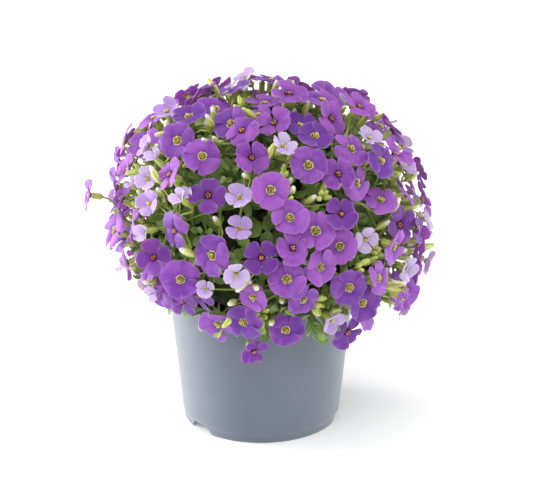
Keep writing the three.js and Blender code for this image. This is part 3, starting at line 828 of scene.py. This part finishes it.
def green_finish():
    soft = {"subsurface_weight": 0.12, "subsurface_scale": 0.001, "subsurface_radius": (0.7, 1.0, 0.3)}
    made = Finish("stalk_and_calyx", 0.5, **soft)
    ripe, rib, tone, tube = made.marks()
    stalk = made.blended(tone, (124, 144, 66), (156, 160, 88))
    calyx = made.blended(tone, (182, 180, 88), (246, 246, 150))
    body = made.blended(ripe, stalk, calyx)
    body = made.blended(made.spread(rib, 0.1, 0.9, 0, 0.5), body, (146, 166, 68))
    cloud = made.noise(420, 4, 0.6)
    body = made.blended(made.spread(cloud, 0.5, 0.8, 0, 0.35), body, (128, 104, 78))
    made.bumped(made.noise(1400, 3, 0.6), 0.00012, 0.6)
    return made.painted(made.blended(tube, body, (228, 214, 178)))


# Depth behind the petals and radius, from the foot up the sepals to their tips, then the pale tube.
CALYX_RINGS = (
    *((9.4, 0.6), (8.6, 1.75), (7.4, 2.25), (5.6, 2.05), (4.0, 2.2)),
    *((2.9, 2.15), (2.9, 1.75), (3.3, 1.25), (2.2, 1.2), (1.6, 1.5)),
)
SEPAL_TIP_RINGS = (5, 6)
CALYX_SIDES = 12


def calyx_shape(bloom, length):
    """The calyx tube behind a bloom: four sepals, a little bellied at the base."""
    rings, marks = [], []
    for number, (depth, radius) in enumerate(CALYX_RINGS):
        ring = []
        for turn in turns_of(CALYX_SIDES):
            lobe = cos(4 * turn)
            way = across_bloom(bloom, turn + bloom["spin"] + pi / 4)
            height = -depth * length / CALYX_LENGTH
            if number in SEPAL_TIP_RINGS:
                height += 0.8 * lobe
            spot = bloom["centre"] + bloom["facing"] * height
            ring.append(spot + way * (radius * (1 + 0.1 * lobe)))
            tube = 1 if number > max(SEPAL_TIP_RINGS) else 0
            marks.append((0.46 + 0.06 * number, 0.5 - 0.5 * lobe, bloom["tone"], tube))
        rings.append(ring)
    return *skinned(rings), marks


def greens_of_spray(group, greens):
    """Adds the spray's stem, stalks and calyces; says where the stem points and where it ends."""
    out, foot, head, joints = spray_stem(group)
    for place, (bloom, joint) in enumerate(zip(group, joints)):
        bloom["tone"] = spray_luck.random()
        length = CALYX_LENGTH * (bloom["radius"] / BLOOM_RADIUS) ** 0.3
        if in_pot(bloom["centre"] - bloom["facing"] * length):
            length *= SHORT_CALYX
        greens.add(*calyx_shape(bloom, length))
        base = bloom["centre"] - bloom["facing"] * (length - 0.3)
        last_way = out if place else (head - foot).normalized()
        stops = over_rim(bowed(base, -bloom["facing"], joint, last_way, STALK_STEPS))
        radii = [FIRST_GIRTH + 0.25 * step / STALK_STEPS for step in range(STALK_STEPS + 1)]
        if place == 0:
            stops += [head.lerp(foot, step / 4) for step in range(1, 5)]
            radii += [0.95, 1.0, 1.05, 1.1]
        greens.add(*rod(stops, radii, STALK_SIDES), (0, 0, bloom["tone"], 0))
    return out, head


# The petals: four to a bloom, broad and rounded on a short claw, thin, a little silky and softly
# waved. Open blooms are violet with paler edges; young ones are half open, smaller and lilac.
PETAL_ROWS = 1 - (1 - np.linspace(0, 1, 10)) ** 1.6
PETAL_COLUMNS = np.sin(np.linspace(-1, 1, 9) * pi / 2)
PETAL_ROOT = 0.1
PETAL_WIDEST = 0.6
PETAL_BLUNTNESS = 2.4
PETAL_BEND = 0.21
CLAW_SHARE = 0.28
PETAL_THICKNESS = 0.3
PALE_EYED_EXTRA_WIDTH = 0.08
THROAT_RINGS = ((0.2, -0.14), (0.18, 0.0), (0.1, -0.05), (0, -0.12))
THROAT_SIDES = 12
ANTHER_COUNT = 6
ANTHER_SIZES = (0.45, 0.75)
petal_luck = random.Random(8)
vary = petal_luck.uniform


def petal_shape(bloom, petal, wide, radius, recurve):
    """One petal; its marks are how far out, how far across, its tone and how near the edge. Its whole
    lower face is marked as edge, which paints the underside paler as painted light.
    """
    u, c = np.meshgrid(PETAL_ROWS, PETAL_COLUMNS, indexing="ij")
    claw = np.clip(u / PETAL_WIDEST, 0, 1)
    claw = claw * claw * (3 - 2 * claw)
    blunt = np.clip((u - PETAL_WIDEST) / (1 - PETAL_WIDEST), 0, 1)
    broad = wide * (CLAW_SHARE + (1 - CLAW_SHARE) * claw)
    half = broad * np.sqrt(1 - (0.95 * blunt) ** PETAL_BLUNTNESS)
    reach = vary(0.93, 1.06)
    notch = vary(-0.01, 0.05)
    x = PETAL_ROOT + (reach - PETAL_ROOT) * (u - 0.05 * u**6 * c**2)
    x -= notch * u**8 * np.exp(-((c / 0.4) ** 2))
    x += 0.02 * u**4 * np.sin(4 * c + vary(0, 6))
    y = half * c + vary(-0.06, 0.06) * u**2
    twist = vary(0.1, 0.22)
    lift = vary(-0.06, 0.08)
    dome = vary(0.2, 1.0)
    bend = recurve + vary(-0.3, 0.3)
    z = (bloom["cup"] + lift) * x + 0.08 * dome * np.sin(pi * u) * (1 - c**2)
    z += twist * y * claw - PETAL_BEND * bend * u**3 - 0.1 * np.exp(-u / 0.08)
    z += 0.045 * u**2 * np.sin(4.2 * c + vary(0, 6)) * (0.5 + 0.5 * np.abs(c))
    z += 0.03 * u * np.sin(6 * u + 2 * c + vary(0, 6))
    z += vary(-0.1, 0.08) * u * np.abs(c) ** 3
    turn = petal * pi / 2 + bloom["spin"] + vary(-0.09, 0.09)
    ways = (across_bloom(bloom, turn), across_bloom(bloom, turn + pi / 2), bloom["facing"])
    grid = (x * radius, y * radius, z * radius)
    points = shell_points(*grid, PETAL_THICKNESS, ways, bloom["centre"])
    tone = min(max(bloom["tone"] + vary(-0.15, 0.15), 0), 1)
    edge = np.maximum(np.abs(c) ** 14 * claw, u**14)
    marks = [np.hypot(x, y), 0.5 + 0.5 * c, np.full_like(u, tone), edge]
    upper = np.stack(marks, -1).reshape(-1, 4)
    # The lower face is marked as all edge: its paler colour is painted light on the petal's shaded
    # underside.
    lower = np.maximum(upper, (0, 0, 0, 1))
    return points, shell_faces(*u.shape), np.concatenate([upper, lower]).tolist()


def petal_finish(name, ring_far, *tones):
    """A petal that is paler to its edge and, as painted light, paler all over its underside, finely
    veined, with a ring round a deeper throat.
    """
    deep, body, edge, eye_ring, throat = tones
    soft = {"subsurface_weight": 0.38, "subsurface_scale": 0.002, "subsurface_radius": (1.0, 0.5, 1.0)}
    made = Finish(name, 0.6, sheen_weight=0.06, **soft)
    made.shader.inputs["Specular IOR Level"].default_value = 0.3
    far, across, tone, pale_edge_and_painted_underside_light = made.marks()
    sideways = made.times(made.sums("SUBTRACT", across, 0.5), 2.0)
    cloud = made.noise(190, 3, 0.55)
    shade = made.blended(made.spread(made.sums("ADD", tone, cloud), 0.5, 1.5), deep, body)
    shade = made.blended(made.spread(far, 0.2, 0.6, 0.55, 0), shade, deep)
    waver = made.times(made.sums("SUBTRACT", made.noise(160, 2), 0.5), 1.2)
    fan = made.sums("ADD", made.times(sideways, 4.5), waver)
    vein = made.spread(made.sums("PINGPONG", fan, 0.5), 0.0, 0.16, 1, 0)
    vein = made.times(vein, made.spread(far, 0.15, 0.95, 0.5, 0.1))
    shade = made.blended(vein, shade, deep)
    # Paler at the edge, and paler all over the underside, where that is painted light.
    shade = made.blended(made.times(pale_edge_and_painted_underside_light, 0.45), shade, edge)
    speck = made.times(made.sums("SUBTRACT", made.noise(800, 2), 0.5), 0.2)
    near = made.sums("ADD", far, speck)
    shade = made.blended(made.spread(near, ring_far - 0.035, ring_far, 1, 0), shade, eye_ring)
    shade = made.blended(made.spread(near, 0.17, 0.2, 1, 0), shade, throat)
    raised = made.sums("ADD", made.times(vein, -2.0), made.noise(1300, 2))
    made.bumped(raised, 0.00012, 0.6)
    return made.painted(shade)


def eye_finish(name, inner, outer):
    made = Finish(name, 0.6)
    patch = made.noise(1500, 3, 0.6)
    made.bumped(patch, 0.0002)
    return made.painted(made.blended(made.spread(patch, 0.35, 0.65), inner, outer))


# Each petal's tones: deep, body, edge, the ring round the eye and the throat.
DARK_EYED_TONES = ((98, 42, 138), (158, 86, 184), (190, 140, 212), (86, 20, 104), (60, 10, 50))
PALE_EYED_TONES = ((98, 44, 142), (158, 90, 188), (190, 142, 214), (236, 224, 134), (124, 118, 30))
YOUNG_TONES = ((170, 138, 206), (200, 180, 224), (234, 226, 244), (232, 230, 190), (150, 150, 50))
BLOOM_FINISHES = [
    petal_finish("violet_petal_dark_eyed", 0.24, *DARK_EYED_TONES),
    petal_finish("violet_petal_pale_eyed", 0.255, *PALE_EYED_TONES),
    petal_finish("young_lilac_petal", 0.25, *YOUNG_TONES),
    eye_finish("dark_throat", (52, 10, 40), (112, 30, 52)),
    eye_finish("green_throat", (60, 56, 14), (150, 142, 40)),
    eye_finish("yellow_anthers", (230, 200, 56), (250, 236, 132)),
    eye_finish("orange_anthers", (222, 138, 62), (246, 196, 116)),
]
DARK_EYED, PALE_EYED, YOUNG, DARK_THROAT, GREEN_THROAT, YELLOW, ORANGE = range(7)


def throat_shape(bloom, radius):
    """The mouth of the tube that the petals' claws make, sunk a little below them."""
    rings = []
    for reach, height in THROAT_RINGS:
        ways = [across_bloom(bloom, turn) * reach for turn in turns_of(THROAT_SIDES, reach)]
        rings.append([bloom["centre"] + (way + bloom["facing"] * height) * radius for way in ways])
    return skinned(rings)


def add_bloom(bloom, blooms):
    """Adds one bloom's petals, throat and anthers to its spray's blooms."""
    young = bloom["young"]
    dark = not young and petal_luck.random() < 0.5
    kind = YOUNG if young else DARK_EYED if dark else PALE_EYED
    radius = bloom["solid_radius"] * (1 if young else 1.03)
    wide = vary(0.52, 0.6) + (0 if dark or young else PALE_EYED_EXTRA_WIDTH)
    recurve = vary(-0.8, -0.1) if young else vary(-0.3, 0.9)
    for petal in range(4):
        width = wide * vary(0.94, 1.05)
        blooms.add(*petal_shape(bloom, petal, width, radius, recurve), kind)
    blooms.add(*throat_shape(bloom, radius), (0, 0, 0, 0), DARK_THROAT if dark else GREEN_THROAT)
    for turn in turns_of(ANTHER_COUNT):
        way = across_bloom(bloom, turn + bloom["spin"] + vary(-0.3, 0.3))
        reach = vary(0.05, 0.12)
        spot = bloom["centre"] + (way * reach + bloom["facing"] * 0.05) * radius
        along = (bloom["facing"] + way * vary(-0.2, 0.5)).normalized()
        size = vary(*ANTHER_SIZES)
        stops = [spot + along * (height * size) for height in (-1, -0.5, 0.4, 1)]
        anther = rod(stops, [0, size / 2, size / 2, 0], 6, along.orthogonal())
        blooms.add(*anther, (0, 0, 0, 0), ORANGE if dark else YELLOW)


# The buds: closed calyces on short stalks of their own. Ripe ones show the white tips of the folded
# petals, small green ones stand in clusters, and some just open into a small pale bell of petals.
BUD_LENGTH = 13
GREEN_BUD_LENGTH = 7.8
CLUSTERS_A_SPRAY = 2
CLUSTER_BUDS = 5
RIPE_BUDS = 4
BUD_SIDES = 8
BUD_STALK_STEPS = 4
SOLID_BUD_TRIES = 6
SPOT_TRIES = 90
SPOT_SPACING = 7
# How far along the bud, and radius.
BUD_RINGS = (
    *((0.05, 0.9), (0.15, 1.6), (0.32, 2.05), (0.52, 2.15), (0.68, 1.95)),
    *((0.74, 1.5), (0.82, 1.5), (0.91, 1.25), (0.97, 0.7), (1, 0)),
)
SEPAL_END = 0.72
bud_draw = number_stream(77)


def bud_finish():
    made = Finish("bud", 0.5, subsurface_weight=0.1, subsurface_scale=0.001)
    far, rib, tone, _ = made.marks()
    body = made.blended(tone, (184, 202, 96), (234, 236, 138))
    body = made.blended(made.spread(rib, 0.2, 0.9, 0, 0.45), body, (122, 148, 62))
    ragged = made.sums("ADD", far, made.times(rib, 0.06))
    made.bumped(made.noise(1300, 3, 0.6), 0.00012, 0.6)
    return made.painted(made.blended(made.spread(ragged, 0.75, 0.81), body, (238, 234, 224)))


def bud_shape(joint, tip, axis, length, ripe):
    """A bud with its stalk; marks are how far along the bud, the sepal's rib and the tone."""
    low = tip - axis * length
    stops = over_rim(bowed(joint, (tip - joint).normalized(), low, -axis, BUD_STALK_STEPS))
    radii = [0.6 - 0.02 * step for step in range(BUD_STALK_STEPS + 1)]
    shares = [0] * len(stops)
    girth = (length / BUD_LENGTH) ** 0.4
    for share, radius in BUD_RINGS:
        stops.append(low.lerp(tip, share))
        radii.append(radius * girth)
        shares.append(share if ripe else min(share, SEPAL_END) - 0.06)
    points, faces = rod(stops, radii, BUD_SIDES)
    tone = spray_luck.random()
    marks = [(shares[place // BUD_SIDES], 1 - place % 2, tone, 0) for place in range(len(points))]
    return points, faces, marks


def solid_bud_tip(out, spray):
    """The tip of the bud that the spray's solid has, if it has one."""
    for _ in range(SOLID_BUD_TRIES):
        lean = Vector((next(bud_draw) - 0.5, next(bud_draw) - 0.5, next(bud_draw) - 0.4))
        way = (out + lean * 0.7).normalized()
        tip = on_mound(way, 0.98 + 0.06 * next(bud_draw))
        _, near, distance = spray_corners.find(tip)
        if distance < SAME_CORNER and corner_sprays[near] == spray:
            return tip
    return None


def clear_spots(out, count, lowest, highest):
    """Places in the spray's stretch of the mound that no petal is near."""
    found = []
    for _ in range(SPOT_TRIES):
        if len(found) >= count:
            break
        way = (out + shaken(spray_luck, 0.45)).normalized()
        spot = on_mound(way, spray_luck.uniform(lowest, highest))
        if meets_petals(spot) or in_pot(spot):
            continue
        if all((spot - other).length > SPOT_SPACING for other in found):
            found.append(spot)
    return found


def upward(spot, lean):
    """The way out of the mound at a spot, turned a little up and by a random lean."""
    way = (spot - MOUND_MIDDLE).normalized() + UP * 0.3
    return (way + shaken(spray_luck, lean)).normalized()


def bud_cluster(joint, root, greens):
    """A shoot's tip with its small green buds, the youngest in the middle."""
    way = upward(root, 0.2)
    side = way.orthogonal().normalized()
    stops = bowed(joint, (root - joint).normalized(), root, -way, 5)
    greens.add(*rod(stops, [0.8, 0.8, 0.78, 0.76, 0.74, 0.7], STALK_SIDES), (0, 0, 0.3, 0))
    for bud in range(CLUSTER_BUDS):
        ring = Quaternion(way, bud * GOLDEN_TURN) @ side
        axis = (way + ring * (0.1 + 0.17 * bud)).normalized()
        length = GREEN_BUD_LENGTH * (0.75 + 0.08 * bud)
        tip = root + ring * (0.5 + 0.35 * bud) + axis * (length + 1.4 - 0.3 * bud)
        if not (meets_petals(tip) or in_pot(tip) or in_pot(tip - axis * length)):
            greens.add(*bud_shape(root - way, tip, axis, length, False), 1)


def opening_bell(centre, facing):
    """A bud that just opens: four small pale petals that stand up round its tip."""
    bell = {"centre": centre, "facing": facing, "spin": spray_luck.uniform(0, 3)}
    return bell | {"cup": 0.95, "young": True, "solid_radius": 5.5, "tone": 1.0}


def buds_of_spray(group, out, head, spray, greens, blooms):
    """Adds the solid's bud, ripe and opening buds and clusters of green ones to the spray."""
    joint = head - out * (STALK_STEP * (len(group) - 0.5))
    tip = solid_bud_tip(out, spray)
    if tip is not None:
        ripe = spray_luck.random() < 0.5
        greens.add(*bud_shape(joint, tip, (tip - joint).normalized(), BUD_LENGTH, ripe), 1)
    for tip in clear_spots(out, RIPE_BUDS, 0.89, 1.02):
        length = BUD_LENGTH * spray_luck.uniform(0.75, 0.95)
        opening = spray_luck.random() < 0.3
        axis = upward(tip, 0.35)
        if in_pot(tip - axis * length):
            continue
        greens.add(*bud_shape(joint, tip, axis, length, not opening), 1)
        if opening and not petals_in_reach(tip, 13):
            add_bloom(opening_bell(tip - axis, axis), blooms)
    for root in clear_spots(out, CLUSTERS_A_SPRAY, 0.8, 0.9):
        bud_cluster(joint, root, greens)


green = green_finish()
bud_green = bud_finish()
for spray, (name, group) in enumerate(zip(spray_names, sprays)):
    greens, blooms = Gathered(), Gathered()
    out, head = greens_of_spray(group, greens)
    for bloom in group:
        add_bloom(bloom, blooms)
    buds_of_spray(group, out, head, spray, greens, blooms)
    stalks = greens.made(f"{name}_stalks", [green, bud_green], 60)
    petals = blooms.made(f"{name}_blooms", BLOOM_FINISHES, 60)
    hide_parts(name)
    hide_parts(name)

# The studio: a pale floor, a broad soft light overhead, soft lights from the left and, weaker,
# from the right, and the camera, which looks down a little on the pot from the front.
PICTURE_WIDTH = 544
FOCAL_PIXELS = 1719
AIM_PIXELS = 159.8
SENSOR = 36
CAMERA_RISE = radians(24.65)
CAMERA_TILT = CAMERA_RISE - atan(AIM_PIXELS / FOCAL_PIXELS)
CAMERA_FAR = 1.12
CAMERA_ASIDE = 0.0068
LIGHTS_AIM = Vector((0, 0, 0.04))
FLOOR_DARKER = (245.814, 245.814, 245.814)
FLOOR_PALER = (248.153, 248.153, 248.153)
SKY_LIGHT = 0.36
SKY_SEEN = 1
camera = bpy.data.cameras.new("camera")
camera.lens = FOCAL_PIXELS * SENSOR / PICTURE_WIDTH
camera.sensor_width = SENSOR
camera.clip_end = 50
camera_piece = placed("camera", camera)
back, height = CAMERA_FAR * cos(CAMERA_RISE), CAMERA_FAR * sin(CAMERA_RISE)
camera_piece.location = (CAMERA_ASIDE, -back, height)
camera_piece.rotation_euler = (pi / 2 - CAMERA_TILT, 0, 0)
bpy.context.scene.camera = camera_piece


def soft_light(name, place, power):
    lamp = bpy.data.lights.new(name, "AREA")
    lamp.shape = "DISK"
    lamp.size = 0.7
    lamp.energy = power
    piece = placed(name, lamp)
    piece.location = place
    piece.rotation_euler = (LIGHTS_AIM - Vector(place)).to_track_quat("-Z", "Y").to_euler()


soft_light("light_left", (-1.25, 0.36, 0.1), 30)
soft_light("light_right", (1.2, 0.26, 0.1), 8.5)
overhead = bpy.data.lights.new("light_overhead", "SUN")
overhead.angle = radians(100)
overhead.energy = 2.7
placed("light_overhead", overhead).rotation_euler = (radians(18), radians(-12), 0)

floor_mesh = bpy.data.meshes.new("floor")
floor_mesh.from_pydata([(-6, -6, 0), (6, -6, 0), (6, 6, 0), (-6, 6, 0)], [], [(0, 1, 2, 3)])
floor_finish = Finish("pale_floor", 0.9, emission_strength=0.2, emission_color=(1, 1, 1, 1))
floor_tone = floor_finish.spread(floor_finish.noise(3, 2), 0.3, 0.7)
floor_body = floor_finish.blended(floor_tone, FLOOR_DARKER, FLOOR_PALER)
floor_mesh.materials.append(floor_finish.painted(floor_body))
placed("floor", floor_mesh)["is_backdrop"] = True

world = bpy.data.worlds.new("studio")
bpy.context.scene.world = world
world.use_nodes = True
nodes, links = world.node_tree.nodes, world.node_tree.links
sky = nodes["Background"]
sky.inputs["Color"].default_value = (1, 1, 1, 1)
seen = nodes.new("ShaderNodeLightPath").outputs["Is Camera Ray"]
brightness = nodes.new("ShaderNodeMapRange")
brightness.inputs["To Min"].default_value = SKY_LIGHT
brightness.inputs["To Max"].default_value = SKY_SEEN
links.new(seen, brightness.inputs["Value"])
links.new(brightness.outputs[0], sky.inputs["Strength"])
bpy.context.scene.view_settings.view_transform = "Standard"

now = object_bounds()
boxes = [[list(corner) for corner in box] for box in (cad_box, now)]
